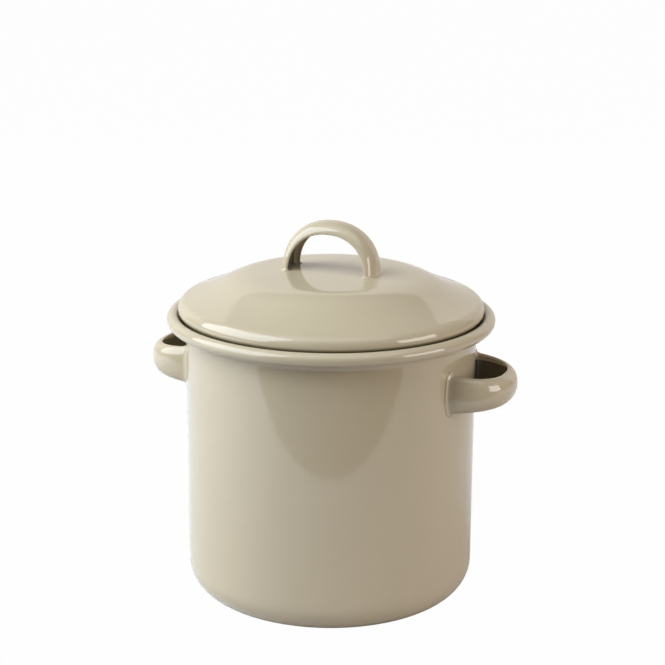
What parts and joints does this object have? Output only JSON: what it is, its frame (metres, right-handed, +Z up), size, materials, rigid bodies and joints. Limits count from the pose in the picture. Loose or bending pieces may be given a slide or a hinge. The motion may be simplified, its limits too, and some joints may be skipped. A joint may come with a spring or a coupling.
{
  "type": "garlic keeper",
  "caption": "Enamelled steel garlic keeper: a straight round pot with a rolled rim, side handles and a vented back wall, under a lift-off domed lid with an arched handle.",
  "frame": {"origin": "centre of the base, on the surface that the pot stands on", "axes": "+Z up; X runs through the two side handles; the front faces -Y and the vent holes are in the back wall, at +Y"},
  "size_m": [0.1844, 0.158, 0.1835],
  "materials": {
    "enamel": "glossy vitreous enamel in warm clay beige, fired over pressed steel"
  },
  "bodies": {
    "pot": {"pot_body": "enamel", "side_handle_left": "enamel", "side_handle_right": "enamel"},
    "lid": {"lid_shell": "enamel", "lid_handle": "enamel"}
  },
  "joints": [
    {"name": "lid_lift", "type": "slide", "parent": "pot", "child": "lid", "axis": [0, 0, 1], "range_m": [0, 0.12]}
  ]
}
